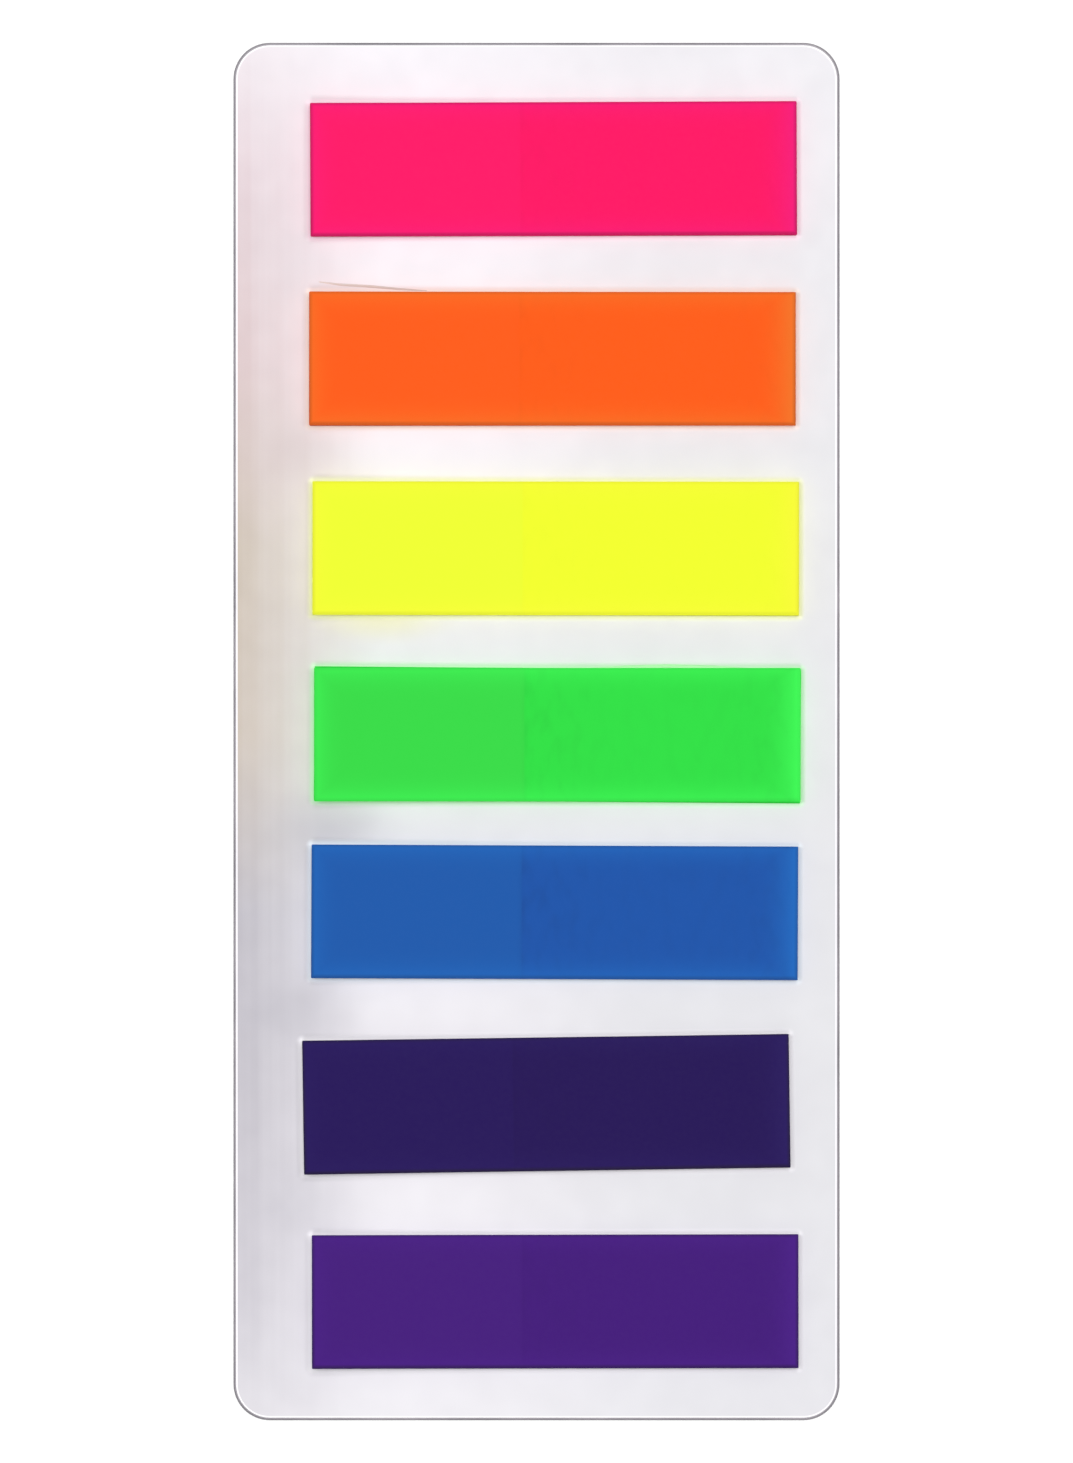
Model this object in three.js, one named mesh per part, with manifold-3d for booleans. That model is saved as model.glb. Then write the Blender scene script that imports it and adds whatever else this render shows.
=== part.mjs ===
// Sticky index tabs: seven pads of tinted film flags in a column on a stiff plastic card.
//
// Millimetres, +Z up. The card lies flat with the middle of its underside at the origin.
// X runs across the card, from the free ends of the flags towards their gummed ends.
// Y runs along the card, towards the pink pad.

import * as THREE from 'three';
import { mergeVertices } from 'three/addons/utils/BufferGeometryUtils.js';
import Module from 'manifold-3d';

const wasm = await Module();
wasm.setup();

// Backing card. Its outline follows the column of pads and the bare margins round it.
const GRIP_MARGIN = 7.15; // bare card beside the grip ends
const GUM_MARGIN = 3.85; // bare card beside the gummed ends
const END_MARGIN = 5.2; // bare card above the first pad and below the last
const PAD_GAP = 5.1; // bare card between two pads
const CARD_THICKNESS = 0.4;
const CARD_CORNER_RADIUS = 3.3;
const CARD_EDGE_ROUNDING = 0.15; // how far both rims are rounded in from the cut edge
const CORNER_STEPS = 8;

// One flag: a strip of film, bare at its grip end and gummed under the rest
const FLAG_LENGTH = 44;
const FLAG_WIDTH = 12;
const FILM_THICKNESS = 0.05;
const GRIP_LENGTH = 19;
const GUM_THICKNESS = 0.02;
const GUM_INSET = 0.3; // the gum stops short of the film's long edges and its end
const GRIP_STEPS = 4;

// One pad: flags stacked by their gum, with the grips sprung apart like a deck of cards
const FLAGS_PER_PAD = 20;
const FIRST_GRIP_LIFT = 0.05; // how far the lowest grip stands off, at its tip
const GRIP_FAN = 0.035; // how much further each grip above it stands off
const STACK_SCATTER = 0.06; // how far a flag lies off the stack's middle
const SCATTER_TURN = 2.4; // radians from one flag's direction of scatter to the next

// The pads from the top down. dx, dy: off the even pitch. skew: degrees, anticlockwise.
// fan: degrees that the stack turns from its lowest flag to its top one.
const PADS = [
  { name: 'pink', colour: '#ff206c', dx: -0.1, dy: -0.3, skew: 0.2, fan: 0.1 },
  { name: 'orange', colour: '#ff5f21', dx: -0.2, dy: -0.4, skew: 0, fan: -0.1 },
  { name: 'yellow', colour: '#effe36', dx: 0.1, dy: -0.5, skew: -0.1, fan: 0.1 },
  { name: 'green', colour: '#3ddb4a', dx: 0.25, dy: -0.3, skew: -0.25, fan: 0.5 },
  { name: 'blue', colour: '#265cac', dx: 0, dy: 0.7, skew: -0.25, fan: 0 },
  { name: 'indigo', colour: '#2c1e59', dx: -0.75, dy: 0.4, skew: 0.8, fan: 0.1 },
  { name: 'violet', colour: '#49257d', dx: 0.05, dy: -0.4, skew: 0.1, fan: -0.1 },
];

const CARD_COLOUR = '#f2eff4';

const PAD_PITCH = FLAG_WIDTH + PAD_GAP;
const CARD_WIDTH = GRIP_MARGIN + FLAG_LENGTH + GUM_MARGIN;
const CARD_LENGTH = 2 * END_MARGIN + (PADS.length - 1) * PAD_PITCH + FLAG_WIDTH;
const COLUMN_SHIFT = (GRIP_MARGIN - GUM_MARGIN) / 2;
const FLAG_PITCH = FILM_THICKNESS + GUM_THICKNESS;
const GUM_LENGTH = FLAG_LENGTH - GRIP_LENGTH;

// Film and gum are both cut to the same end, so every x here is measured from the pad's middle
const GRIP_TIP_X = -FLAG_LENGTH / 2;
const GUM_START_X = GRIP_TIP_X + GRIP_LENGTH;
const GUM_MIDDLE_X = GUM_START_X + (GUM_LENGTH - GUM_INSET) / 2;

function toSolid(geometry) {
  geometry.deleteAttribute('normal');
  geometry.deleteAttribute('uv');
  const closed = mergeVertices(geometry, 1e-5);
  return new wasm.Manifold(new wasm.Mesh({
    numProp: 3,
    vertProperties: new Float32Array(closed.attributes.position.array),
    triVerts: new Uint32Array(closed.index.array),
  }));
}

function toGeometry(solid) {
  const { vertProperties, triVerts } = solid.getMesh();
  const geometry = new THREE.BufferGeometry();
  geometry.setAttribute('position', new THREE.BufferAttribute(vertProperties, 3));
  geometry.setIndex(new THREE.BufferAttribute(triVerts, 1));
  geometry.computeVertexNormals();
  return geometry;
}

// The card's outline, with its four corners as quarter circles
function cardOutline() {
  const x = CARD_WIDTH / 2;
  const y = CARD_LENGTH / 2;
  const r = CARD_CORNER_RADIUS;
  const outline = new THREE.Shape();
  outline.moveTo(-x + r, -y);
  outline.lineTo(x - r, -y);
  outline.absarc(x - r, -y + r, r, -Math.PI / 2, 0);
  outline.lineTo(x, y - r);
  outline.absarc(x - r, y - r, r, 0, Math.PI / 2);
  outline.lineTo(-x + r, y);
  outline.absarc(-x + r, y - r, r, Math.PI / 2, Math.PI);
  outline.lineTo(-x, -y + r);
  outline.absarc(-x + r, -y + r, r, Math.PI, 1.5 * Math.PI);
  return outline;
}

function cardGeometry() {
  const geometry = new THREE.ExtrudeGeometry(cardOutline(), {
    depth: CARD_THICKNESS - 2 * CARD_EDGE_ROUNDING,
    curveSegments: CORNER_STEPS,
    bevelThickness: CARD_EDGE_ROUNDING,
    bevelSize: CARD_EDGE_ROUNDING,
    bevelOffset: -CARD_EDGE_ROUNDING,
    bevelSegments: 2,
  });
  geometry.translate(0, 0, CARD_EDGE_ROUNDING);
  return geometry;
}

// A film seen from its long edge: level over the gum, then a parabola up to the grip's tip.
// A quadratic curve whose control point is level and halfway along gives that parabola.
function filmProfile(lift) {
  const end = FLAG_LENGTH / 2;
  const bend = (GUM_START_X + GRIP_TIP_X) / 2;
  const profile = new THREE.Shape();
  profile.moveTo(end, 0);
  profile.lineTo(end, FILM_THICKNESS);
  profile.lineTo(GUM_START_X, FILM_THICKNESS);
  profile.quadraticCurveTo(bend, FILM_THICKNESS, GRIP_TIP_X, FILM_THICKNESS + lift);
  profile.lineTo(GRIP_TIP_X, lift);
  profile.quadraticCurveTo(bend, 0, GUM_START_X, 0);
  profile.closePath();
  return profile;
}

// The film's underside is at z = 0 over the gum
function filmGeometry(lift) {
  const geometry = new THREE.ExtrudeGeometry(filmProfile(lift), {
    depth: FLAG_WIDTH,
    curveSegments: GRIP_STEPS,
    bevelEnabled: false,
  });
  geometry.rotateX(Math.PI / 2);
  geometry.translate(0, FLAG_WIDTH / 2, 0);
  return geometry;
}

// A gum band from z = bottom to z = top
function gumGeometry(bottom, top) {
  const geometry = new THREE.BoxGeometry(
    GUM_LENGTH - GUM_INSET,
    FLAG_WIDTH - 2 * GUM_INSET,
    top - bottom,
  );
  geometry.translate(GUM_MIDDLE_X, 0, (bottom + top) / 2);
  return geometry;
}

// Puts a flag's piece where flag number index lies in its stack
function seatInStack(geometry, index, pad) {
  const share = index / (FLAGS_PER_PAD - 1);
  const turn = THREE.MathUtils.degToRad(pad.fan * (share - 0.5));
  const direction = index * SCATTER_TURN;
  geometry.rotateZ(turn);
  geometry.translate(
    STACK_SCATTER * Math.cos(direction),
    STACK_SCATTER * Math.sin(direction),
    GUM_THICKNESS + index * FLAG_PITCH,
  );
  return geometry;
}

// One flag: its film, joined to the gum under it. The gum reaches down to gumBottom and up
// into the film's middle, so that film and gum become one solid.
function flagSolid(index, pad, gumBottom) {
  const film = filmGeometry(FIRST_GRIP_LIFT + index * GRIP_FAN);
  const gum = gumGeometry(gumBottom, FILM_THICKNESS / 2);
  const filmPart = toSolid(seatInStack(film, index, pad));
  const gumPart = toSolid(seatInStack(gum, index, pad));
  return filmPart.add(gumPart);
}

// The lower flags as one solid. Each gum above the first sinks into the film below it.
function padGeometry(pad) {
  let stack = flagSolid(0, pad, -GUM_THICKNESS);
  for (let index = 1; index < FLAGS_PER_PAD - 1; index += 1) {
    stack = stack.add(flagSolid(index, pad, -GUM_THICKNESS - FILM_THICKNESS / 2));
  }
  return toGeometry(stack);
}

// The top flag only rests on the stack, so its gum ends at the face below it
function topFlagGeometry(pad) {
  return toGeometry(flagSolid(FLAGS_PER_PAD - 1, pad, -GUM_THICKNESS));
}

function filmMaterial(colour) {
  return new THREE.MeshStandardMaterial({ color: colour, roughness: 0.35, metalness: 0 });
}

const part = new THREE.Group();
part.name = 'sticky_index_tabs';

const card = new THREE.Mesh(
  cardGeometry(),
  new THREE.MeshStandardMaterial({ color: CARD_COLOUR, roughness: 0.2, metalness: 0 }),
);
card.name = 'backing_card';
part.add(card);

PADS.forEach((pad, row) => {
  const middleRow = (PADS.length - 1) / 2;
  const place = new THREE.Group();
  place.position.set(
    COLUMN_SHIFT + pad.dx,
    (middleRow - row) * PAD_PITCH + pad.dy,
    CARD_THICKNESS,
  );
  place.rotation.z = THREE.MathUtils.degToRad(pad.skew);

  const stack = new THREE.Mesh(padGeometry(pad), filmMaterial(pad.colour));
  stack.name = `${pad.name}_pad`;
  place.add(stack);

  const topFlag = new THREE.Mesh(topFlagGeometry(pad), filmMaterial(pad.colour));
  topFlag.name = `${pad.name}_top_flag`;
  place.add(topFlag);

  part.add(place);
});

export default part;
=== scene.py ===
# %% [markdown]
# # Sticky index tabs on a plastic card
#
# Seven pads of tinted film tabs lie in a column on one stiff plastic card. The measured model
# holds the real sizes: the card, each pad, and the tab on top of each pad. This lesson loads it
# as a fixed frame and dresses it, so that every new piece lies exactly where its plain one is.

# %% Load the measured model
import math
import random

import bmesh
import bpy
from mathutils import Matrix, Vector


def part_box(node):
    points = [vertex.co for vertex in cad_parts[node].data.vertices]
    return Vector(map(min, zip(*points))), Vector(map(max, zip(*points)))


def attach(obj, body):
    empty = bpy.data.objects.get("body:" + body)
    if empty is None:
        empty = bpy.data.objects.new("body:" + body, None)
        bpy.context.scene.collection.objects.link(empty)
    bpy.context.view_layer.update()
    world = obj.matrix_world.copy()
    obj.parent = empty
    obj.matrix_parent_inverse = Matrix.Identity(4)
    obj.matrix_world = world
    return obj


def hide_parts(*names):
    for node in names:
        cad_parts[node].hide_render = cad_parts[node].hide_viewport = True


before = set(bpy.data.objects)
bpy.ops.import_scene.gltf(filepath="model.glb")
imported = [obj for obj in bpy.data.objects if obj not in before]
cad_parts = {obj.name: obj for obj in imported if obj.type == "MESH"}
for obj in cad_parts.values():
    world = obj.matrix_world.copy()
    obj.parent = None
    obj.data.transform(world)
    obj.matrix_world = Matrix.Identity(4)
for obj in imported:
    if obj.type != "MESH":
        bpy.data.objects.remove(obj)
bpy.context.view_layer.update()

MM = 0.001

# %% [markdown]
# ## The sizes of a tab and of a pad
#
# A tab is a strip of film. Gum runs under its right part only, so that the left part can be
# gripped. Twenty of them make a pad. The film leaves the gum level and then rises a little to
# the grip's tip, and each tab above springs a little further, like a fanned deck of cards.
# The card's own box gives where everything stands.

# %% Name the sizes
CARD_LOW, CARD_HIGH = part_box("backing_card")
CARD_TOP = CARD_HIGH.z
CARD_WIDTH = CARD_HIGH.x - CARD_LOW.x
CARD_LENGTH = CARD_HIGH.y - CARD_LOW.y
CARD_THICKNESS = CARD_HIGH.z - CARD_LOW.z
CORNER_RADIUS = 3.3 * MM
RIM_ROUNDING = 0.15 * MM

FLAG_LENGTH = 44 * MM
FLAG_WIDTH = 12 * MM
FILM = 0.05 * MM
GUM = 0.02 * MM
GRIP_LENGTH = 19 * MM
GUM_INSET = 0.3 * MM
FLAGS_PER_PAD = 20
FIRST_LIFT = 0.05 * MM
FAN_LIFT = 0.035 * MM
SCATTER = 0.06 * MM
SCATTER_TURN = 2.4

GUM_START = GRIP_LENGTH - FLAG_LENGTH / 2
print("card, mm:", [round(v / MM, 2) for v in (CARD_WIDTH, CARD_LENGTH, CARD_THICKNESS)])

# %% [markdown]
# ## The pads' colours and how each one lies
#
# `grip` is the film's colour where it is bare, `gummed` where gum lies under it, and `rim` the
# lighter colour of the painted glow at and toward its cut edge. `cut` is how dark the painted
# line of shade along its edges is, `glow` how strongly its cut edges glow by emission, a painted
# glow, and `air` how much trapped air shows through. `skew` and `fan` are in degrees: how far
# the pad is turned on the card, and how far its stack turns from the lowest tab to the top one.

# %% List the pads from the top down
PADS = {
    "pink": dict(
        grip="#ff206a", gummed="#fe1e67", rim="#f5247e",
        cut=0.4, glow=0.2, air=0.3, skew=0.2, fan=0.1,
    ),
    "orange": dict(
        grip="#ff5f21", gummed="#fe5f1f", rim="#f2792e",
        cut=0.3, glow=0.2, air=0.3, skew=0.0, fan=-0.1,
    ),
    "yellow": dict(
        grip="#effe37", gummed="#f2fe32", rim="#f9fa3c",
        cut=0.12, glow=0.2, air=0.15, skew=-0.1, fan=0.1,
    ),
    "green": dict(
        grip="#3cda4a", gummed="#35df48", rim="#44fa5a",
        cut=0.12, glow=0.2, air=0.7, skew=-0.25, fan=0.5,
    ),
    "blue": dict(
        grip="#265cab", gummed="#2557a9", rim="#296ec2",
        cut=0.32, glow=0.1, air=1.0, skew=-0.25, fan=0.0,
    ),
    "indigo": dict(
        grip="#2b1e58", gummed="#2a1d55", rim="#2f235f",
        cut=0.6, glow=0.05, air=0.4, skew=0.8, fan=0.1,
    ),
    "violet": dict(
        grip="#48247c", gummed="#46227a", rim="#4e2788",
        cut=0.55, glow=0.05, air=0.4, skew=0.1, fan=-0.1,
    ),
}
print("pads:", ", ".join(PADS))

# %% [markdown]
# ## Helpers for materials
#
# Colours are easiest to choose as the hex values that a screen shows. The shader works in
# linear light, so one function turns the one into the other. Another adds a node: it sets
# what it is given, and links what is already a socket. The last starts an empty material.

# %% Helpers for materials
def linear(hex_colour):
    """An sRGB hex colour as linear red, green, blue and alpha."""
    parts = [int(hex_colour[i:i + 2], 16) / 255 for i in (1, 3, 5)]
    light = [p / 12.92 if p <= 0.04045 else ((p + 0.055) / 1.055) ** 2.4 for p in parts]
    return (*light, 1.0)


def add(tree, kind, inputs=None, stops=(), **settings):
    """Adds a node to a tree. Inputs that are sockets are linked, and the others are set.

    The stops are a colour ramp's, each one its position and its colour.
    """
    made = tree.nodes.new(kind)
    for name, value in settings.items():
        setattr(made, name, value)
    for key, value in (inputs or {}).items():
        if isinstance(value, bpy.types.NodeSocket):
            tree.links.new(value, made.inputs[key])
        else:
            made.inputs[key].default_value = value
    if stops:
        marks = made.color_ramp.elements
        marks[0].position, marks[0].color = stops[0]
        marks[1].position, marks[1].color = stops[-1]
        for position, colour in stops[1:-1]:
            marks.new(position).color = colour
    return made


def new_material(name):
    """A node material with only its output. Returns the material, its tree and the output."""
    made = bpy.data.materials.new(name)
    made.use_nodes = True
    made.node_tree.nodes.clear()
    output = add(made.node_tree, "ShaderNodeOutputMaterial")
    return made, made.node_tree, output


print("pink in linear light:", [round(v, 3) for v in linear(PADS["pink"]["grip"])])

# %% [markdown]
# ## Helpers for meshes
#
# Every finished piece sits at the origin with its place in its mesh, and rides on the one body.
# Broad faces are smooth, and edges sharper than 30 degrees stay crisp.

# %% Helpers for meshes
SHARP = math.radians(30)


def finish_piece(name, bm, materials, slot, *nodes):
    """Turns a bmesh into a piece that rides on the body and stands for the given nodes."""
    bmesh.ops.recalc_face_normals(bm, faces=bm.faces)
    for face in bm.faces:
        face.smooth = True
    for edge in bm.edges:
        edge.smooth = edge.calc_face_angle(0) < SHARP
    mesh = bpy.data.meshes.new(name)
    bm.to_mesh(mesh)
    bm.free()
    for material in materials:
        mesh.materials.append(material)
    piece = bpy.data.objects.new(name, mesh)
    bpy.context.scene.collection.objects.link(piece)
    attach(piece, "root")
    if nodes:
        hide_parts(*nodes)
    print(f"{name}: {len(mesh.polygons)} faces")
    return piece


def faces_of(verts):
    """The faces whose corners are all among the given vertices."""
    chosen = set(verts)
    touching = {face for vert in verts for face in vert.link_faces}
    return [face for face in touching if chosen.issuperset(face.verts)]


print(f"edges sharper than {math.degrees(SHARP):.0f} degrees stay crisp")

# %% [markdown]
# ## Where the pads lie
#
# The top tab's own box is centred on its film, so it gives the pad's place once the tab's small
# scatter in the stack is taken off again.

# %% Work out the pads' places
def scatter(index):
    """How far tab number index lies off the middle of its stack."""
    direction = index * SCATTER_TURN
    return Vector((SCATTER * math.cos(direction), SCATTER * math.sin(direction), 0))


def pad_matrix(name):
    """Takes a pad's own frame, centred on its stack at the card's face, to the card's."""
    low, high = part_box(f"{name}_top_flag")
    turn = Matrix.Rotation(math.radians(PADS[name]["skew"]), 4, "Z")
    place = (low + high) / 2 - turn @ scatter(FLAGS_PER_PAD - 1)
    place.z = CARD_TOP
    return Matrix.Translation(place) @ turn


def flag_matrix(name, index):
    """Takes a tab's own frame, with the film's underside at z = 0, to the card's."""
    share = index / (FLAGS_PER_PAD - 1)
    turn = Matrix.Rotation(math.radians(PADS[name]["fan"] * (share - 0.5)), 4, "Z")
    height = Vector((0, 0, GUM + index * (FILM + GUM)))
    return pad_matrix(name) @ Matrix.Translation(scatter(index) + height) @ turn


for name in PADS:
    middle = pad_matrix(name).translation
    print(f"{name} pad's middle, mm: {middle.x / MM:.2f}, {middle.y / MM:.2f}")

# %% [markdown]
# ## The camera
#
# The set lies on a table and is seen from straight above, with its length upright in the
# picture. A long lens keeps the raised tabs from spreading. The picture is 1463 pixels high,
# and a millimetre of card takes 11.02 of them, which gives how far away the camera stands.

# %% Place the camera
PICTURE_HEIGHT = 1463
PIXELS_PER_MM = 11.02
LENS = 400.0
SENSOR = 36.0

camera_data = bpy.data.cameras.new("camera")
camera_data.lens = LENS
camera_data.sensor_width = SENSOR
camera = bpy.data.objects.new("camera", camera_data)
bpy.context.scene.collection.objects.link(camera)
distance = PICTURE_HEIGHT / PIXELS_PER_MM * MM * LENS / SENSOR
camera.location = (0, 0, CARD_TOP + distance)
bpy.context.scene.camera = camera
print(f"camera {distance:.3f} m above the card")

# %% [markdown]
# ## The floor, the sky and the lamps
#
# A plain white studio. The floor and the sky show white to the camera and in reflections by a
# Light Path switch, and light the object only softly. The floor stays a real surface under
# that, so it still takes the object's shadow. Further out, where the lamps hardly reach, it
# glows more, so that it is white from low down too. Four lamps hang high over the table, the
# left one a little stronger, so that the pads hardly throw a shadow on their card. They are
# far enough off the vertical that the glossy card doesn't mirror them into the lens.

# %% Build the studio
SKY_LIGHT = 0.15
FLOOR_SIZE = 3.0
FLOOR_GLOW = 0.35
NEAR_FLOOR, FAR_FLOOR = 0.2, 0.9


def seen_directly(tree):
    """1 where the eye looks, straight, in a reflection or through glass, and 0 elsewhere."""
    path = add(tree, "ShaderNodeLightPath")
    camera_or_gloss = add(
        tree, "ShaderNodeMath",
        {0: path.outputs["Is Camera Ray"], 1: path.outputs["Is Glossy Ray"]},
        operation="MAXIMUM",
    )
    return add(
        tree, "ShaderNodeMath",
        {0: camera_or_gloss.outputs[0], 1: path.outputs["Is Transmission Ray"]},
        operation="MAXIMUM",
    )


world = bpy.data.worlds.new("white studio")
bpy.context.scene.world = world
world.use_nodes = True
tree = world.node_tree
tree.nodes.clear()
seen = seen_directly(tree)
soft = add(tree, "ShaderNodeBackground", {"Color": linear("#ffffff"), "Strength": SKY_LIGHT})
white = add(tree, "ShaderNodeBackground", {"Color": linear("#ffffff"), "Strength": 1.0})
mixed = add(
    tree, "ShaderNodeMixShader",
    {0: seen.outputs[0], 1: soft.outputs[0], 2: white.outputs[0]},
)
add(tree, "ShaderNodeOutputWorld", {"Surface": mixed.outputs[0]})

floor_material, tree, output = new_material("white paper sweep, matt")
seen = seen_directly(tree)
around = add(tree, "ShaderNodeTexCoord")
away = add(tree, "ShaderNodeVectorMath", {0: around.outputs["Object"]}, operation="LENGTH")
level = add(
    tree, "ShaderNodeMapRange",
    {
        "Value": away.outputs["Value"], "From Min": NEAR_FLOOR, "From Max": FAR_FLOOR,
        "To Min": FLOOR_GLOW, "To Max": 1.0,
    },
)
glow = add(
    tree, "ShaderNodeMath", {0: seen.outputs[0], 1: level.outputs[0]}, operation="MULTIPLY",
)
paper = add(tree, "ShaderNodeBsdfDiffuse", {"Color": linear("#e7e7e7")})
light = add(tree, "ShaderNodeEmission", {"Strength": glow.outputs[0]})
both = add(tree, "ShaderNodeAddShader", {0: paper.outputs[0], 1: light.outputs[0]})
tree.links.new(both.outputs[0], output.inputs["Surface"])

bm = bmesh.new()
bmesh.ops.create_grid(bm, x_segments=1, y_segments=1, size=FLOOR_SIZE / 2)
floor_mesh = bpy.data.meshes.new("floor")
bm.to_mesh(floor_mesh)
bm.free()
floor_mesh.materials.append(floor_material)
floor = bpy.data.objects.new("floor", floor_mesh)
bpy.context.scene.collection.objects.link(floor)

LAMP_SIZE = 0.2
LAMPS = {
    "right lamp": dict(place=(0.27, 0.08, 1.0), power=2.2),
    "left lamp": dict(place=(-0.27, 0.05, 1.0), power=3.2),
    "far lamp": dict(place=(0.07, 0.27, 1.0), power=2.4),
    "near lamp": dict(place=(-0.05, -0.27, 1.0), power=2.4),
}
for name, lamp in LAMPS.items():
    light_data = bpy.data.lights.new(name, "AREA")
    light_data.size = LAMP_SIZE
    light_data.energy = lamp["power"]
    light = bpy.data.objects.new(name, light_data)
    light.location = lamp["place"]
    light.rotation_euler = (-Vector(lamp["place"])).to_track_quat("-Z", "Y").to_euler()
    bpy.context.scene.collection.objects.link(light)
print("lamps:", ", ".join(LAMPS))

# %% [markdown]
# ## The film
#
# The tabs are polyester film, dyed through and coated matt so that a pen takes on it. The eye
# sees a deep even colour with a soft sheen. Four things keep it from being flat: the gummed
# part is a shade deeper than the grip, a faint line shows where the gum starts, trapped air
# mottles the gummed part, and a painted glow lies toward the edges, which end in a thin painted
# dark line of shade. The cut edges themselves are a material of their own, which glows by
# emission: a painted glow for the light that a dyed film gathers over its whole face and lets
# out there. All of it follows the pad, so a Mapping node puts the pattern in its top tab's
# frame, and every length in these materials is in millimetres.

# %% Make the film materials
SHEEN = 0.0116
LIGHT = 1.05
LINE_BLUR = 0.12
LINE_WIDTH = 0.5
LINE_SHADE = 0.05
BLOTCH = 2.4
AIR_SHADE = 0.07
AIR_LEAST, AIR_MOST = 5.0, 11.5
# The painted glow toward the film's ends and edges, in millimetres
END_GLOW_WIDTH, END_GLOW_POWER = 4.0, 2.2
EDGE_GLOW_WIDTH, EDGE_GLOW_POWER, EDGE_GLOW = 3.5, 3.0, 0.84
# Where the painted dark line of shade at the film's edges starts and is full
PAINTED_LINE_START, PAINTED_LINE_FULL = -0.3, -0.06
PAINTED_LINE_UPPER_SHARE = 0.7
GRAIN = 0.35


def dye(hex_colour):
    """The dye that shows as the given colour under the lamps, once the coat adds its sheen."""
    seen = linear(hex_colour)[:3]
    return (*(min(1.0, max(0.0, part - SHEEN) / LIGHT) for part in seen), 1.0)


def coordinates(tree, place):
    """Millimetres in the frame that the given matrix takes to the card's."""
    where = add(tree, "ShaderNodeTexCoord")
    return add(
        tree, "ShaderNodeMapping",
        {
            "Vector": where.outputs["Object"],
            "Location": place.translation,
            "Rotation": place.to_euler(),
            "Scale": (MM, MM, MM),
        },
        vector_type="TEXTURE",
    )


def outside_of_film(tree, axes):
    """How far a point lies beyond a film's nearer end and beyond its nearer long edge."""
    beyond = []
    for axis, size in (("X", FLAG_LENGTH), ("Y", FLAG_WIDTH)):
        off = add(tree, "ShaderNodeMath", {0: axes.outputs[axis]}, operation="ABSOLUTE")
        past = add(
            tree, "ShaderNodeMath", {0: off.outputs[0], 1: size / 2 / MM}, operation="SUBTRACT",
        )
        beyond.append(past)
    return beyond


def gum_shade(tree, pad, local, along, gummed):
    """How much the gum under the film darkens it: by its trapped air, and where it starts."""
    # The blotches of air are upright, and strongest toward both ends of the gum
    start = GUM_START / MM
    squeezed = add(
        tree, "ShaderNodeVectorMath", {0: local.outputs[0], 1: (2.0, 1.0, 1.0)},
        operation="MULTIPLY",
    )
    blotches = add(
        tree, "ShaderNodeTexNoise",
        {"Vector": squeezed.outputs[0], "Scale": 1 / BLOTCH, "Detail": 2.0, "Roughness": 0.4},
    )
    bubbles = add(
        tree, "ShaderNodeMapRange",
        {
            "Value": blotches.outputs["Fac"], "From Min": 0.4, "From Max": 0.75,
            "To Max": AIR_SHADE * pad["air"],
        },
        interpolation_type="SMOOTHSTEP",
    )
    gum_middle = start + (FLAG_LENGTH - GRIP_LENGTH) / 2 / MM
    off_middle = add(tree, "ShaderNodeMath", {0: along, 1: gum_middle}, operation="SUBTRACT")
    from_middle = add(tree, "ShaderNodeMath", {0: off_middle.outputs[0]}, operation="ABSOLUTE")
    gathered = add(
        tree, "ShaderNodeMapRange",
        {
            "Value": from_middle.outputs[0], "From Min": AIR_LEAST, "From Max": AIR_MOST,
            "To Min": 0.5, "To Max": 1.5,
        },
        interpolation_type="SMOOTHSTEP",
    )
    amount = add(
        tree, "ShaderNodeMath", {0: bubbles.outputs[0], 1: gathered.outputs[0]},
        operation="MULTIPLY",
    )
    in_gum = add(
        tree, "ShaderNodeMath", {0: amount.outputs[0], 1: gummed.outputs[0]},
        operation="MULTIPLY",
    )

    off_line = add(tree, "ShaderNodeMath", {0: along, 1: start}, operation="SUBTRACT")
    from_line = add(tree, "ShaderNodeMath", {0: off_line.outputs[0]}, operation="ABSOLUTE")
    gum_line = add(
        tree, "ShaderNodeMapRange",
        {
            "Value": from_line.outputs[0], "From Max": LINE_WIDTH,
            "To Min": LINE_SHADE * pad["air"], "To Max": 0.0,
        },
        interpolation_type="SMOOTHSTEP",
    )
    return add(
        tree, "ShaderNodeMath", {0: in_gum.outputs[0], 1: gum_line.outputs[0]},
        operation="ADD",
    )


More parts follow.
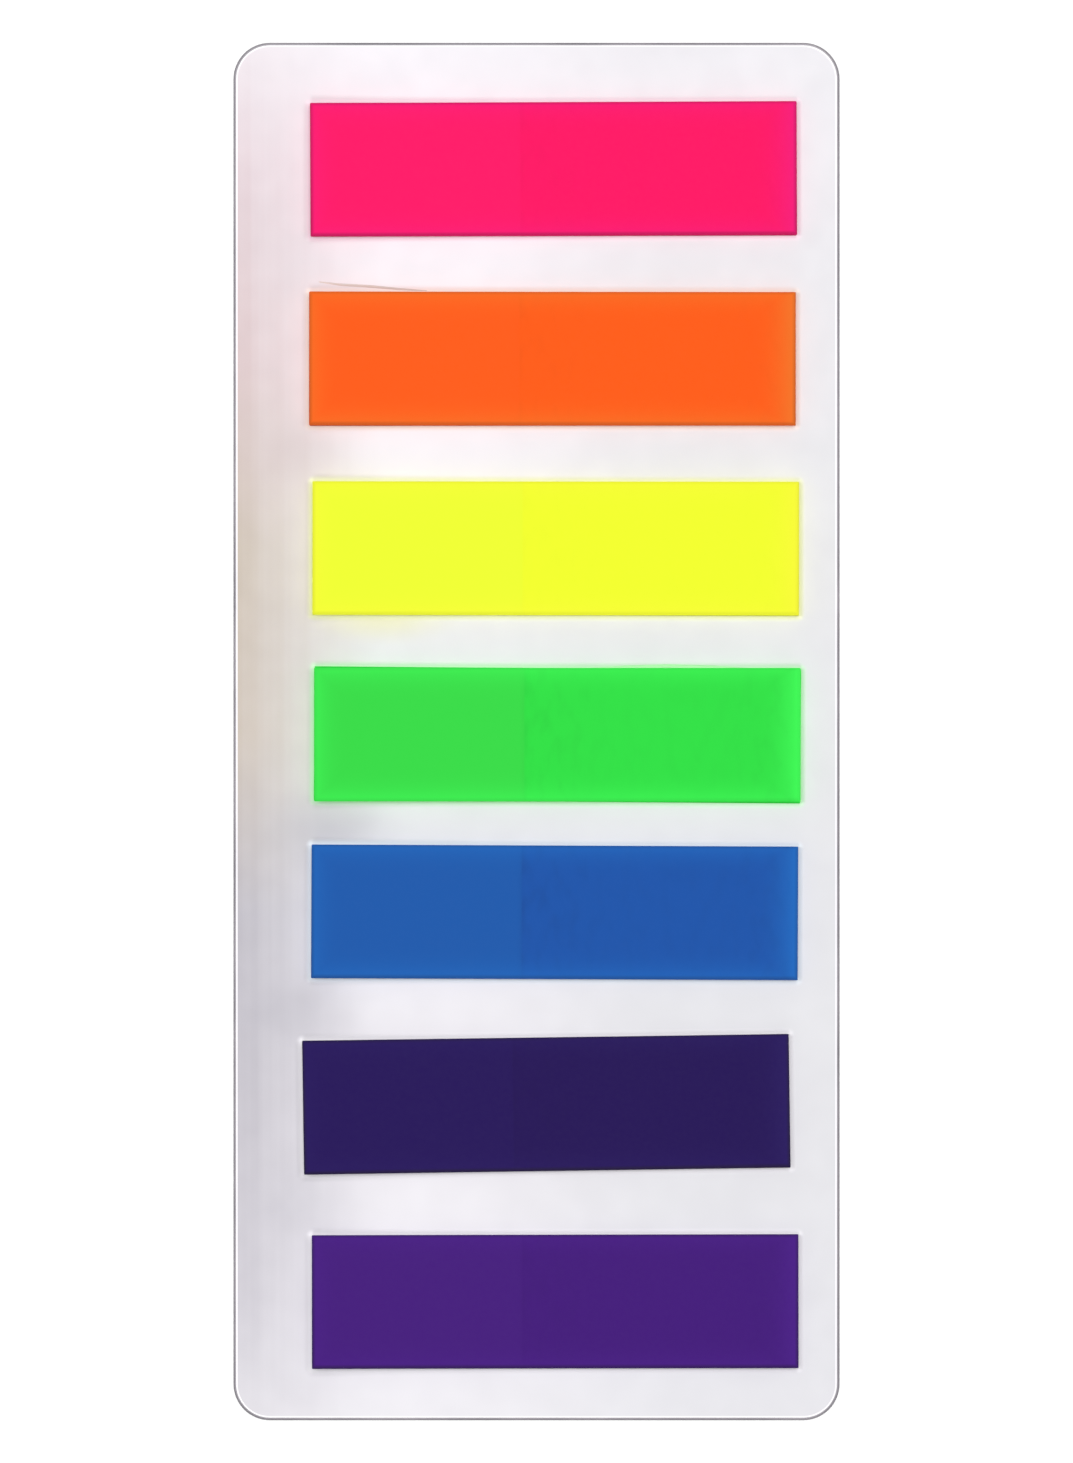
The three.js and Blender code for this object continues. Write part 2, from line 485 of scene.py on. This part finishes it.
def tone_at_edges(tree, pad, axes, tone):
    """A colour with a painted glow toward the film's edges and a painted dark edge line over it.
    """
    # The painted glow is widest at the gummed end
    half_length = FLAG_LENGTH / 2 / MM
    toward_end = add(
        tree, "ShaderNodeMapRange",
        {
            "Value": axes.outputs["X"],
            "From Min": half_length - END_GLOW_WIDTH, "From Max": half_length,
        },
    )
    end_glow = add(
        tree, "ShaderNodeMath", {0: toward_end.outputs[0], 1: END_GLOW_POWER}, operation="POWER",
    )
    from_end, from_side = outside_of_film(tree, axes)
    edge = add(
        tree, "ShaderNodeMath", {0: from_end.outputs[0], 1: from_side.outputs[0]},
        operation="MAXIMUM",
    )
    toward_edge = add(
        tree, "ShaderNodeMapRange",
        {
            "Value": edge.outputs[0], "From Min": -EDGE_GLOW_WIDTH, "From Max": 0.0,
            "To Max": EDGE_GLOW,
        },
    )
    edge_glow = add(
        tree, "ShaderNodeMath", {0: toward_edge.outputs[0], 1: EDGE_GLOW_POWER},
        operation="POWER",
    )
    glow = add(
        tree, "ShaderNodeMath", {0: end_glow.outputs[0], 1: edge_glow.outputs[0]},
        operation="MAXIMUM",
    )
    lit = add(
        tree, "ShaderNodeMix",
        {0: glow.outputs[0], 6: tone.outputs[2], 7: dye(pad["rim"])},
        data_type="RGBA",
    )

    # A thin painted dark line of shade runs all round, strongest along the lower long edge
    painted_line_strength = add(
        tree, "ShaderNodeMapRange",
        {
            "Value": axes.outputs["Y"],
            "From Min": -FLAG_WIDTH / 2 / MM, "From Max": FLAG_WIDTH / 2 / MM,
            "To Min": pad["cut"], "To Max": PAINTED_LINE_UPPER_SHARE * pad["cut"],
        },
    )
    cut = add(
        tree, "ShaderNodeMapRange",
        {
            "Value": edge.outputs[0], "From Min": PAINTED_LINE_START, "From Max": PAINTED_LINE_FULL,
            "To Max": painted_line_strength.outputs[0],
        },
    )
    return add(
        tree, "ShaderNodeMix",
        {0: cut.outputs[0], 6: lit.outputs[2], 7: linear("#160c14")},
        data_type="RGBA",
    )


def film_material(name):
    """The dyed film of one pad, with its pattern in its top tab's frame."""
    pad = PADS[name]
    made, tree, output = new_material(f"{name} polyester film, dyed and matt coated")
    local = coordinates(tree, flag_matrix(name, FLAGS_PER_PAD - 1))
    axes = add(tree, "ShaderNodeSeparateXYZ", {0: local.outputs[0]})
    along = axes.outputs["X"]

    start = GUM_START / MM
    gummed = add(
        tree, "ShaderNodeMapRange",
        {"Value": along, "From Min": start - LINE_BLUR, "From Max": start + LINE_BLUR},
        interpolation_type="SMOOTHSTEP",
    )
    body = add(
        tree, "ShaderNodeMix",
        {0: gummed.outputs[0], 6: dye(pad["grip"]), 7: dye(pad["gummed"])},
        data_type="RGBA",
    )
    shade = gum_shade(tree, pad, local, along, gummed)
    marked = add(
        tree, "ShaderNodeMix",
        {0: shade.outputs[0], 6: body.outputs[2], 7: linear("#000000")},
        data_type="RGBA",
    )
    final = tone_at_edges(tree, pad, axes, marked)

    # The matt coat's grain is far finer than this, and is drawn coarse enough to show
    grain = add(
        tree, "ShaderNodeTexNoise",
        {"Vector": local.outputs[0], "Scale": 1 / GRAIN, "Detail": 2.0},
    )
    rough = add(
        tree, "ShaderNodeMapRange",
        {"Value": grain.outputs["Fac"], "To Min": 0.56, "To Max": 0.68},
    )
    bump = add(
        tree, "ShaderNodeBump",
        {"Height": grain.outputs["Fac"], "Strength": 0.15, "Distance": 0.02 * MM},
    )
    shader = add(
        tree, "ShaderNodeBsdfPrincipled",
        {
            "Base Color": final.outputs[2], "Roughness": rough.outputs[0],
            "Normal": bump.outputs[0], "Specular IOR Level": 0.1, "IOR": 1.5,
        },
    )
    tree.links.new(shader.outputs[0], output.inputs["Surface"])
    return made


def cut_edge_material(name):
    """The cut edges of one pad's films, every film a shade of its own, with a painted glow."""
    pad = PADS[name]
    made, tree, output = new_material(f"{name} polyester film, knife cut edge")
    local = coordinates(tree, flag_matrix(name, FLAGS_PER_PAD - 1))
    layered = add(
        tree, "ShaderNodeVectorMath", {0: local.outputs[0], 1: (0.1, 0.1, 9.0)},
        operation="MULTIPLY",
    )
    shade = add(
        tree, "ShaderNodeTexNoise",
        {"Vector": layered.outputs[0], "Scale": 1.0, "Detail": 1.0},
    )
    tone = add(
        tree, "ShaderNodeValToRGB", {0: shade.outputs["Fac"]},
        stops=[(0.35, dye(pad["gummed"])), (0.65, dye(pad["rim"]))],
    )
    # The emission is a painted glow, for light that the dyed film lets out at its edges
    shader = add(
        tree, "ShaderNodeBsdfPrincipled",
        {
            "Base Color": tone.outputs[0], "Roughness": 0.35, "IOR": 1.5,
            "Emission Color": tone.outputs[0], "Emission Strength": pad["glow"],
        },
    )
    tree.links.new(shader.outputs[0], output.inputs["Surface"])
    return made


films = {name: film_material(name) for name in PADS}
cut_edges = {name: cut_edge_material(name) for name in PADS}
print("films:", ", ".join(m.name for m in films.values()))

# %% [markdown]
# ## The gum
#
# Between two films lies a band of clear acrylic gum, coated wet and dried. It is recessed from
# the cut edges, so the eye only catches it as a thin glossy seam from the side.

# %% Make the gum material
gum_material, tree, output = new_material("clear acrylic gum, coated")
where = add(tree, "ShaderNodeTexCoord")
ripple = add(
    tree, "ShaderNodeTexNoise",
    {"Vector": where.outputs["Object"], "Scale": 1 / (0.6 * MM), "Detail": 2.0},
)
tint = add(
    tree, "ShaderNodeValToRGB", {0: ripple.outputs["Fac"]},
    stops=[(0.35, linear("#e6e1da")), (0.7, linear("#f6f3ee"))],
)
shader = add(
    tree, "ShaderNodeBsdfPrincipled",
    {"Base Color": tint.outputs[0], "Roughness": 0.18, "IOR": 1.47},
)
tree.links.new(shader.outputs[0], output.inputs["Surface"])
print("gum:", gum_material.name)

# %% [markdown]
# ## The tabs
#
# A film starts as a flat grid. Its grip end is lifted along a parabola, the way a strip bends
# that is held at one end, and then the whole grid is thickened upwards. The measured model has
# the same parabola in a few straight steps. Each grip also gets a slight twist of its own. The
# grid of a tab that lies on top of its pad is finer across.

# %% Make the tabs
FILM_STEPS = 22
TWIST = 0.012 * MM
STACK_ACROSS, TOP_ACROSS = 2, 6
FILM_FACE, GUM_BAND, CUT_EDGE = 0, 1, 2
draw = random.Random(7)


def add_film(bm, matrix, lift, twist, across):
    """Adds one film, with its underside at z = 0 in its own frame."""
    verts = bmesh.ops.create_grid(bm, x_segments=FILM_STEPS, y_segments=across, size=0.5)["verts"]
    bmesh.ops.scale(bm, vec=(FLAG_LENGTH, FLAG_WIDTH, 1), verts=verts)
    for vert in verts:
        bare = max(0.0, (GUM_START - vert.co.x) / GRIP_LENGTH)
        sway = twist * vert.co.y / (FLAG_WIDTH / 2)
        vert.co.z = (lift - abs(twist) + sway) * bare ** 2
    underside = faces_of(verts)
    raised = bmesh.ops.extrude_face_region(bm, geom=underside)
    tops = [item for item in raised["geom"] if isinstance(item, bmesh.types.BMVert)]
    bmesh.ops.translate(bm, vec=(0, 0, FILM), verts=tops)
    broad = set(underside) | set(faces_of(tops))
    for face in {face for vert in tops for face in vert.link_faces} | broad:
        face.material_index = FILM_FACE if face in broad else CUT_EDGE
    bmesh.ops.transform(bm, matrix=matrix, verts=verts + tops)


def add_gum(bm, matrix):
    """Adds the gum band under one film."""
    length = FLAG_LENGTH - GRIP_LENGTH - GUM_INSET
    width = FLAG_WIDTH - 2 * GUM_INSET
    middle = Vector((GUM_START + length / 2, 0, -GUM / 2))
    shape = Matrix.Translation(middle) @ Matrix.Diagonal((length, width, GUM, 1))
    verts = bmesh.ops.create_cube(bm, size=1.0, matrix=matrix @ shape)["verts"]
    for face in faces_of(verts):
        face.material_index = GUM_BAND


def add_flag(bm, name, index, across):
    """Adds tab number index of a pad: its film and the gum under it."""
    matrix = flag_matrix(name, index)
    lift = FIRST_LIFT + index * FAN_LIFT
    add_film(bm, matrix, lift, draw.uniform(-TWIST, TWIST), across)
    add_gum(bm, matrix)


for name in PADS:
    tab_materials = [films[name], gum_material, cut_edges[name]]
    bm = bmesh.new()
    for index in range(FLAGS_PER_PAD - 1):
        add_flag(bm, name, index, STACK_ACROSS)
    finish_piece(f"{name}_stack", bm, tab_materials, f"{name}_film", f"{name}_pad")
    bm = bmesh.new()
    add_flag(bm, name, FLAGS_PER_PAD - 1, TOP_ACROSS)
    finish_piece(f"{name}_tab", bm, tab_materials, f"{name}_film", f"{name}_top_flag")

# %% [markdown]
# ## A shadow line and gum that got out
#
# Two ribs of triangular section lie on the card's face. Beside the orange pad's far corner, a
# thin greyish one is a painted shadow line, for the shadow of a lifted film's edge. Along the
# green pad's far edge lies a low bead of gum, squeezed out where the stack was pressed and cut,
# and its green is painted light from the film.

# %% Make the bits of gum
def add_rib(name, pad, material, points, height):
    """A rib through points (x, y, width), in millimetres in a pad's frame, on the card."""
    bm = bmesh.new()
    rows = []
    for x, y, width in points:
        peak = height * width / max(p[2] for p in points)
        places = ((x, y - width / 2, 0), (x, y, peak), (x, y + width / 2, 0))
        rows.append([bm.verts.new(Vector(place) * MM) for place in places])
    for row, following in zip(rows, rows[1:]):
        for a, b in ((0, 1), (1, 2), (2, 0)):
            bm.faces.new((row[a], row[b], following[b], following[a]))
    bm.faces.new(rows[0])
    bm.faces.new(rows[-1])
    bm.transform(pad_matrix(pad))
    finish_piece(name, bm, [material], f"{pad}_film")


def gum_and_shadow_line_material(name, hex_colour):
    """Gum, or the painted shadow line, with a slightly uneven surface."""
    made, tree, output = new_material(name)
    where = add(tree, "ShaderNodeTexCoord")
    uneven = add(
        tree, "ShaderNodeTexNoise",
        {"Vector": where.outputs["Object"], "Scale": 1 / (0.5 * MM), "Detail": 2.0},
    )
    rough = add(
        tree, "ShaderNodeMapRange",
        {"Value": uneven.outputs["Fac"], "To Min": 0.25, "To Max": 0.45},
    )
    shader = add(
        tree, "ShaderNodeBsdfPrincipled",
        {"Base Color": linear(hex_colour), "Roughness": rough.outputs[0], "IOR": 1.47},
    )
    tree.links.new(shader.outputs[0], output.inputs["Surface"])
    return made


# The greyish one is a painted shadow line, and the bead's green is painted light from the film
shadow_line_material = gum_and_shadow_line_material("painted shadow line", "#d8cbc5")
bead_gum = gum_and_shadow_line_material("acrylic gum, squeezed out", "#a4eda2")
shadow_line_path = [
    (-21.2, 7.0, 0.1), (-19.2, 6.74, 0.24), (-16.6, 6.6, 0.26), (-14.0, 6.36, 0.2),
    (-11.4, 6.2, 0.08),
]
bead = [
    (2.5, 6.0, 0.1), (6.0, 6.06, 0.5), (10.0, 6.1, 0.7), (14.0, 6.06, 0.6), (18.5, 6.0, 0.1),
]
add_rib("orange_shadow_line", "orange", shadow_line_material, shadow_line_path, 0.04)
add_rib("green_gum_bead", "green", bead_gum, bead, 0.08)

# %% [markdown]
# ## The card's face
#
# The card is polypropylene sheet, extruded with a pearly gloss. The eye sees a cool white with
# a painted sheen, brightest left of the middle and greyest just below the green pad. Along its
# left side, beside the lifted grips, a soft painted shade with a painted reflection of each pad's
# colour lies in the card's colour: rose beside pink and orange, sand beside yellow and green,
# lavender beside the dark pads. Faint streaks along the card vary that painted shade. Round each
# pad a little painted light spills from the film's edges, and a painted shadow reaches in under
# the grip's lower corner.
#
# For each pad, `strip` is the painted shade's colour beside it, `spill` that of its painted
# spilled light, and `spot` that of the painted shadow under its corner. `shade` is how strong
# that painted shadow is, `at` how far its middle lies in from the pad's corner and below it,
# and `reach` its half length and width.

# %% Make the card's face material
SHADE_END = 13.5
SHADE_POWER = 1.15
SPILL_WIDTH = 0.7
CLOUD = 14
RIPPLE = 3
PAINTED_SHEEN_ALONG = [(0.0, 0.45), (0.22, 0.75), (0.32, 0.6), (0.44, 0.0), (0.57, 0.2), (0.66, 1.0)]
BY_PAD = {
    "pink": dict(
        strip="#d9c6cc", spill="#fce4f1",
        spot="#dcd0d6", shade=0.2, at=(-1.5, 2.4), reach=(6.0, 4.5),
    ),
    "orange": dict(
        strip="#d1babb", spill="#fbeae0",
        spot="#cdbdbd", shade=0.45, at=(-1.5, 2.6), reach=(6.0, 5.0),
    ),
    "yellow": dict(
        strip="#c0b2a2", spill="#f9fbc8",
        spot="#e0dca4", shade=0.55, at=(6.4, 0.5), reach=(7.5, 2.6),
    ),
    "green": dict(
        strip="#c4b6a9", spill="#cdfbcd",
        spot="#b6b4bc", shade=0.65, at=(1.4, 2.6), reach=(8.0, 4.8),
    ),
    "blue": dict(
        strip="#aeaab3", spill="#eef6fd",
        spot="#b8b5be", shade=0.65, at=(-1.8, 3.0), reach=(7.5, 5.0),
    ),
    "indigo": dict(
        strip="#b4b0b9", spill="#fbf8fd",
        spot="#c2bfc8", shade=0.5, at=(-1.0, 3.0), reach=(7.0, 5.0),
    ),
    "violet": dict(
        strip="#c0bcc5", spill="#fbf8fd",
        spot="#ccc8d0", shade=0.3, at=(-1.5, 2.4), reach=(6.0, 4.5),
    ),
}


def card_coordinates(tree):
    """Millimetres from the card's left edge and from its lower end."""
    return coordinates(tree, Matrix.Translation(CARD_LOW))


def sheet_tone(tree, across, up):
    """The sheet's colour with a painted sheen, by the shares of the way across and up the card.
    """
    plain = add(
        tree, "ShaderNodeValToRGB", {0: up.outputs[0]},
        stops=[(0.0, linear("#dddce1")), (0.5, linear("#dfdfe2")), (1.0, linear("#e2e0e5"))],
    )
    # A painted sheen, lightest left of the middle and gone just below the green pad
    across_painted_sheen = add(
        tree, "ShaderNodeMapRange",
        {"Value": across.outputs[0], "From Min": 0.75, "From Max": 0.33},
        interpolation_type="SMOOTHSTEP",
    )
    along_painted_sheen = add(
        tree, "ShaderNodeValToRGB", {0: up.outputs[0]},
        stops=[(place, (level, level, level, 1)) for place, level in PAINTED_SHEEN_ALONG],
    )
    sheen = add(
        tree, "ShaderNodeMath", {0: across_painted_sheen.outputs[0], 1: along_painted_sheen.outputs[0]},
        operation="MULTIPLY",
    )
    return add(
        tree, "ShaderNodeMix",
        {0: sheen.outputs[0], 6: plain.outputs[0], 7: linear("#ede9ef")},
        data_type="RGBA",
    )


def tone_at_left(tree, axes, up, tone):
    """A colour with the streaked painted shade along the card's left side laid over it."""
    # A painted shade with a painted reflection of each pad's colour, beside the lifted grips
    rows = [(0.0, linear("#d4d1d7")), (1.0, linear("#e8dfe5"))]
    for name, tones in BY_PAD.items():
        up_the_card = (pad_matrix(name).translation.y - CARD_LOW.y) / CARD_LENGTH
        rows.append((up_the_card, linear(tones["strip"])))
    strip = add(tree, "ShaderNodeValToRGB", {0: up.outputs[0]}, stops=sorted(rows))
    toward_left = add(
        tree, "ShaderNodeMapRange",
        {"Value": axes.outputs["X"], "From Min": SHADE_END, "From Max": 0.0},
    )
    fade = add(
        tree, "ShaderNodeMath", {0: toward_left.outputs[0], 1: SHADE_POWER}, operation="POWER",
    )
    # Faint streaks along the card vary the painted shade's strength
    drawn_out = add(
        tree, "ShaderNodeCombineXYZ", {0: axes.outputs["X"], 1: up.outputs[0]},
    )
    streaks = add(
        tree, "ShaderNodeTexNoise",
        {"Vector": drawn_out.outputs[0], "Scale": 0.8, "Detail": 2.0},
    )
    streak = add(
        tree, "ShaderNodeMapRange",
        {
            "Value": streaks.outputs["Fac"], "From Min": 0.3, "From Max": 0.7,
            "To Min": 0.87, "To Max": 1.1,
        },
    )
    beside = add(
        tree, "ShaderNodeMath", {0: fade.outputs[0], 1: streak.outputs[0]},
        operation="MULTIPLY", use_clamp=True,
    )
    return add(
        tree, "ShaderNodeMix",
        {0: beside.outputs[0], 6: tone.outputs[2], 7: strip.outputs[0]},
        data_type="RGBA",
    )


def tone_by_pad(tree, name, tone):
    """A colour with one pad's painted shadow and painted spilled light laid over it."""
    tones = BY_PAD[name]
    local = coordinates(tree, pad_matrix(name))
    # A painted shadow reaches in under the grip's lower corner
    inward, below = tones["at"]
    corner = (inward - FLAG_LENGTH / 2 / MM, -below - FLAG_WIDTH / 2 / MM, 0)
    off_spot = add(
        tree, "ShaderNodeVectorMath", {0: local.outputs[0], 1: corner}, operation="SUBTRACT",
    )
    scaled = add(
        tree, "ShaderNodeVectorMath",
        {0: off_spot.outputs[0], 1: (1 / tones["reach"][0], 1 / tones["reach"][1], 0)},
        operation="MULTIPLY",
    )
    apart = add(tree, "ShaderNodeVectorMath", {0: scaled.outputs[0]}, operation="LENGTH")
    spot = add(
        tree, "ShaderNodeMapRange",
        {"Value": apart.outputs["Value"], "To Min": tones["shade"], "To Max": 0.0},
        interpolation_type="SMOOTHSTEP",
    )
    shaded = add(
        tree, "ShaderNodeMix",
        {0: spot.outputs[0], 6: tone.outputs[2], 7: linear(tones["spot"])},
        data_type="RGBA",
    )
    # Painted light that the film's edges spill on the card round the pad
    axes = add(tree, "ShaderNodeSeparateXYZ", {0: local.outputs[0]})
    from_end, from_side = outside_of_film(tree, axes)
    beyond = add(
        tree, "ShaderNodeCombineXYZ", {0: from_end.outputs[0], 1: from_side.outputs[0]},
    )
    outside = add(
        tree, "ShaderNodeVectorMath", {0: beyond.outputs[0], 1: (0, 0, 0)}, operation="MAXIMUM",
    )
    edge = add(tree, "ShaderNodeVectorMath", {0: outside.outputs[0]}, operation="LENGTH")
    spill = add(
        tree, "ShaderNodeMapRange",
        {"Value": edge.outputs["Value"], "From Max": SPILL_WIDTH, "To Min": 1.0, "To Max": 0.0},
        interpolation_type="SMOOTHSTEP",
    )
    return add(
        tree, "ShaderNodeMix",
        {0: spill.outputs[0], 6: shaded.outputs[2], 7: linear(tones["spill"])},
        data_type="RGBA",
    )


def card_face_material():
    """Pearly sheet with its painted sheen, shade, shadows and light, in the card's own
    millimetres.
    """
    made, tree, output = new_material("pearl polypropylene sheet, extruded")
    local = card_coordinates(tree)
    axes = add(tree, "ShaderNodeSeparateXYZ", {0: local.outputs[0]})
    across = add(
        tree, "ShaderNodeMath", {0: axes.outputs["X"], 1: CARD_WIDTH / MM}, operation="DIVIDE",
    )
    up = add(
        tree, "ShaderNodeMath", {0: axes.outputs["Y"], 1: CARD_LENGTH / MM}, operation="DIVIDE",
    )
    tone = sheet_tone(tree, across, up)
    tone = tone_at_left(tree, axes, up, tone)
    for name in PADS:
        tone = tone_by_pad(tree, name, tone)
    cloud = add(
        tree, "ShaderNodeTexNoise",
        {"Vector": local.outputs[0], "Scale": 1 / CLOUD, "Detail": 1.0},
    )
    drift = add(
        tree, "ShaderNodeMapRange",
        {"Value": cloud.outputs["Fac"], "From Min": 0.3, "From Max": 0.7, "To Max": 0.05},
    )
    clouded = add(
        tree, "ShaderNodeMix",
        {0: drift.outputs[0], 6: tone.outputs[2], 7: linear("#b8b4b8")},
        data_type="RGBA",
    )
    ripple = add(
        tree, "ShaderNodeTexNoise",
        {"Vector": local.outputs[0], "Scale": 1 / RIPPLE, "Detail": 2.0},
    )
    rough = add(
        tree, "ShaderNodeMapRange",
        {"Value": ripple.outputs["Fac"], "To Min": 0.14, "To Max": 0.24},
    )
    bump = add(
        tree, "ShaderNodeBump",
        {"Height": ripple.outputs["Fac"], "Strength": 0.08, "Distance": 0.05 * MM},
    )
    shader = add(
        tree, "ShaderNodeBsdfPrincipled",
        {
            "Base Color": clouded.outputs[2], "Roughness": rough.outputs[0],
            "Normal": bump.outputs[0], "IOR": 1.49,
        },
    )
    tree.links.new(shader.outputs[0], output.inputs["Surface"])
    return made


card_face = card_face_material()
print("card:", card_face.name)

# %% [markdown]
# ## The card's cut rim
#
# Plastic sheet carries some light along itself, and its cut edge lets it out sideways, so from
# above the rim reads as a thin grey line, painted as shade in the rim's colour. Just inside it
# lies a flat pale ring, a painted highlight where the rounded edge catches the light.

# %% Make the rim materials
WANDER = 9


def rim_material(name, dark, pale, roughness):
    """A painted rim or ring at the cut edge, whose tone wanders a little along its length."""
    made, tree, output = new_material(name)
    local = card_coordinates(tree)
    wander = add(
        tree, "ShaderNodeTexNoise",
        {"Vector": local.outputs[0], "Scale": 1 / WANDER, "Detail": 2.0},
    )
    tone = add(
        tree, "ShaderNodeValToRGB", {0: wander.outputs["Fac"]},
        stops=[(0.35, linear(dark)), (0.65, linear(pale))],
    )
    shader = add(
        tree, "ShaderNodeBsdfPrincipled",
        {"Base Color": tone.outputs[0], "Roughness": roughness, "IOR": 1.49},
    )
    tree.links.new(shader.outputs[0], output.inputs["Surface"])
    return made


# The rim's grey is painted shade, and the pale ring inside it a painted highlight
card_rim = rim_material("polypropylene sheet, die cut", "#77737a", "#928d94", 0.35)
card_highlight_ring = rim_material("polypropylene sheet, painted highlight ring", "#f5f2f7", "#fbf8fc", 0.25)
print("rims:", card_rim.name, "and", card_highlight_ring.name)

# %% [markdown]
# ## The card
#
# One face is drawn, its corners are rounded, and it is raised to a sheet. The edge loops at the
# top and bottom are then rounded over, and two flat rings are inset on the upper face: one
# finishes the grey rim, which is painted shade, and the other is the pale painted highlight.

# %% Make the card
CORNER_SEGMENTS = 16
RIM_WIDTH = 0.09 * MM
HIGHLIGHT_RING_WIDTH = 0.14 * MM
FACE, RIM, HIGHLIGHT_RING = 0, 1, 2

bm = bmesh.new()
verts = bmesh.ops.create_grid(bm, x_segments=1, y_segments=1, size=0.5)["verts"]
bmesh.ops.scale(bm, vec=(CARD_WIDTH, CARD_LENGTH, 1), verts=verts)
bmesh.ops.bevel(
    bm, geom=bm.verts[:], offset=CORNER_RADIUS, affect="VERTICES",
    segments=CORNER_SEGMENTS, profile=0.5, material=-1,
)
middle = (CARD_LOW + CARD_HIGH) / 2
bmesh.ops.translate(bm, vec=(middle.x, middle.y, CARD_LOW.z), verts=bm.verts)
raised = bmesh.ops.extrude_face_region(bm, geom=bm.faces[:])
tops = [item for item in raised["geom"] if isinstance(item, bmesh.types.BMVert)]
bmesh.ops.translate(bm, vec=(0, 0, CARD_THICKNESS), verts=tops)
level = [e for e in bm.edges if abs(e.verts[0].co.z - e.verts[1].co.z) < CARD_THICKNESS / 2]
bmesh.ops.bevel(
    bm, geom=level, offset=RIM_ROUNDING, affect="EDGES", segments=4, profile=0.5, material=-1,
)
for face in bm.faces:
    face.material_index = RIM
bmesh.ops.recalc_face_normals(bm, faces=bm.faces)
broad = sorted(bm.faces, key=lambda f: f.calc_area())[-2:]
for face in broad:
    face.material_index = FACE
upper = max(broad, key=lambda f: f.calc_center_median().z)
for width, material in ((RIM_WIDTH, RIM), (HIGHLIGHT_RING_WIDTH, HIGHLIGHT_RING)):
    for face in bmesh.ops.inset_region(bm, faces=[upper], thickness=width)["faces"]:
        face.material_index = material
finish_piece("card_sheet", bm, [card_face, card_rim, card_highlight_ring], "card", "backing_card")

# %% [markdown]
# ## Colours as they are
#
# Standard shows each colour as it was mixed.

# %% Finish
view = bpy.context.scene.view_settings
view.view_transform = "Standard"
